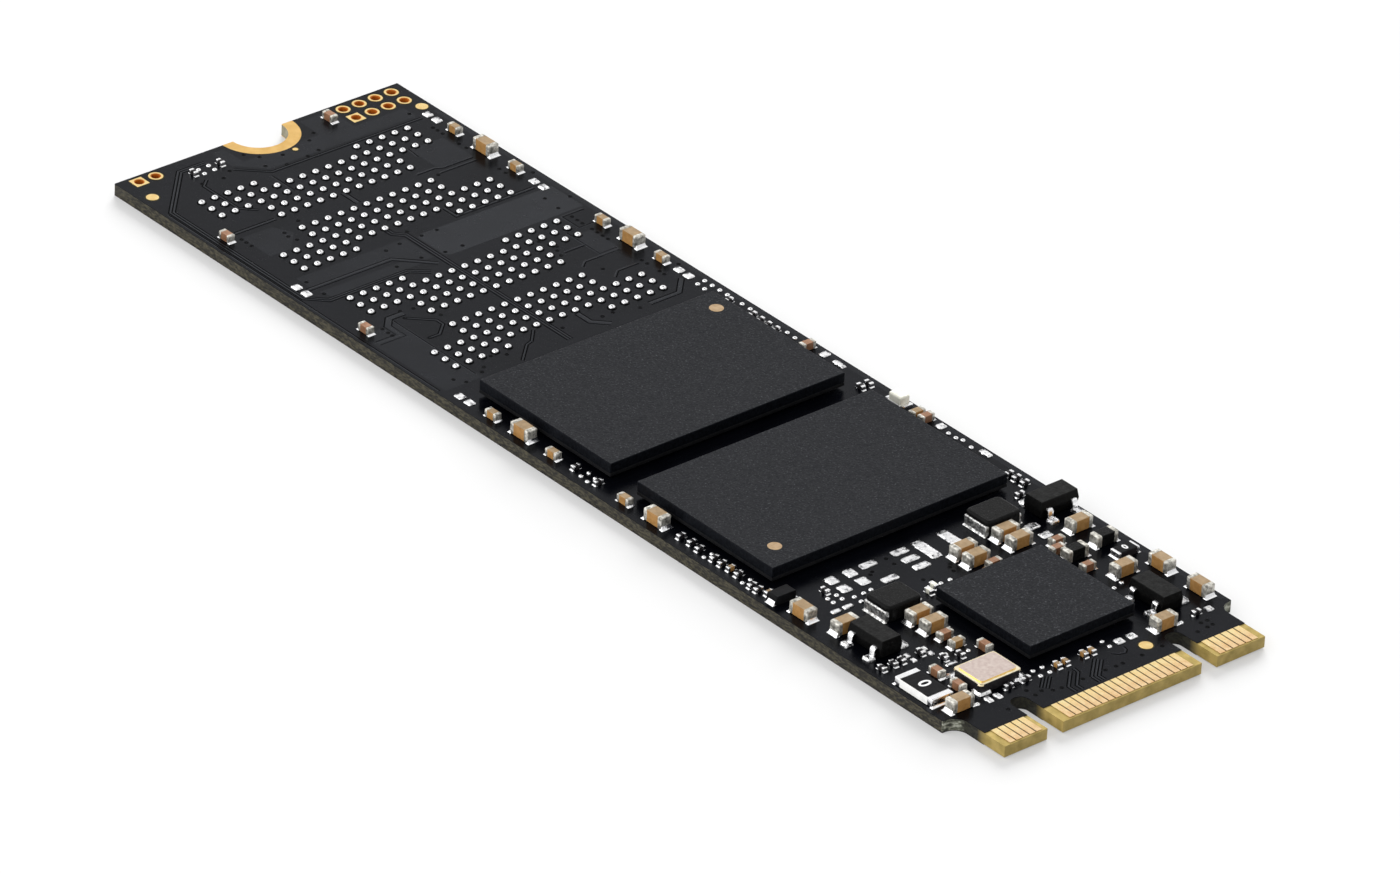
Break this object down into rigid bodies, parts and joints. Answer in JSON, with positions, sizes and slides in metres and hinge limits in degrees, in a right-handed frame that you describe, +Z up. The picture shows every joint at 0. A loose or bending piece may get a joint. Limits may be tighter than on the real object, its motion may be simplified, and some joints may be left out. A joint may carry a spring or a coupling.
{
  "type": "solid state drive",
  "caption": "Bare-board solid state drive: long thin circuit board with a notched gold edge connector, moulded memory and controller packages, bare solder sites and a half-round screw notch.",
  "frame": {"origin": "under the middle of the board, on the plane of its underside", "axes": "+X along the board towards the edge connector, +Y across it towards the side of the first contact, +Z up out of the populated face"},
  "size_m": [0.08, 0.022, 0.002],
  "materials": {
    "laminate": "bare glass-epoxy laminate, olive brown",
    "solder_mask": "near-black solder mask, satin",
    "gold": "gold plating, satin",
    "solder": "bright tin solder",
    "mould": "matte charcoal moulding compound",
    "substrate": "dark package substrate",
    "silicon": "polished silicon",
    "black_ceramic": "black fired ceramic",
    "lid": "satin plated lid",
    "quartz": "quartz blank",
    "ferrite": "matte black ferrite",
    "tan_ceramic": "tan fired ceramic",
    "resistor": "black glazed film on ceramic",
    "lens": "cream lens"
  },
  "bodies": {
    "root": {"capacitor_01": "tan_ceramic", "capacitor_02": "tan_ceramic", "capacitor_03": "tan_ceramic", "capacitor_04": "tan_ceramic", "capacitor_05": "tan_ceramic", "capacitor_06": "tan_ceramic", "capacitor_07": "tan_ceramic", "capacitor_08": "tan_ceramic", "capacitor_09": "tan_ceramic", "capacitor_10": "tan_ceramic", "capacitor_11": "tan_ceramic", "capacitor_12": "tan_ceramic", "capacitor_13": "tan_ceramic", "capacitor_14": "tan_ceramic", "capacitor_15": "tan_ceramic", "capacitor_16": "tan_ceramic", "capacitor_17": "tan_ceramic", "capacitor_18": "tan_ceramic", "chip_resistor": "resistor", "contacts_bottom_far": "gold", "contacts_bottom_middle": "gold", "contacts_bottom_near": "gold", "contacts_top_far": "gold", "contacts_top_middle": "gold", "contacts_top_near": "gold", "controller_cover": "mould", "controller_die": "silicon", "controller_substrate": "substrate", "ferrite_bead_1": "ferrite", "ferrite_bead_2": "ferrite", "indicator_light": "lens", "inductor_1_coil": "solder", "inductor_1_core": "ferrite", "inductor_2_coil": "solder", "inductor_2_core": "ferrite", "laminate_core": "laminate", "large_jumper": "resistor", "memory_3_cover": "mould", "memory_3_die": "silicon", "memory_3_substrate": "substrate", "memory_4_cover": "mould", "memory_4_die": "silicon", "memory_4_substrate": "substrate", "memory_site_1_bumps": "solder", "memory_site_2_bumps": "solder", "oscillator_base": "black_ceramic", "oscillator_crystal": "quartz", "oscillator_lid": "lid", "oscillator_seal_ring": "gold", "regulator_1_body": "mould", "regulator_1_lead_frame": "solder", "regulator_2_body": "mould", "regulator_2_lead_frame": "solder", "regulator_3_body": "mould", "regulator_3_lead_frame": "solder", "screw_land": "gold", "small_jumper": "resistor", "solder_mask_bottom": "solder_mask", "solder_mask_top": "solder_mask"}
  },
  "joints": []
}
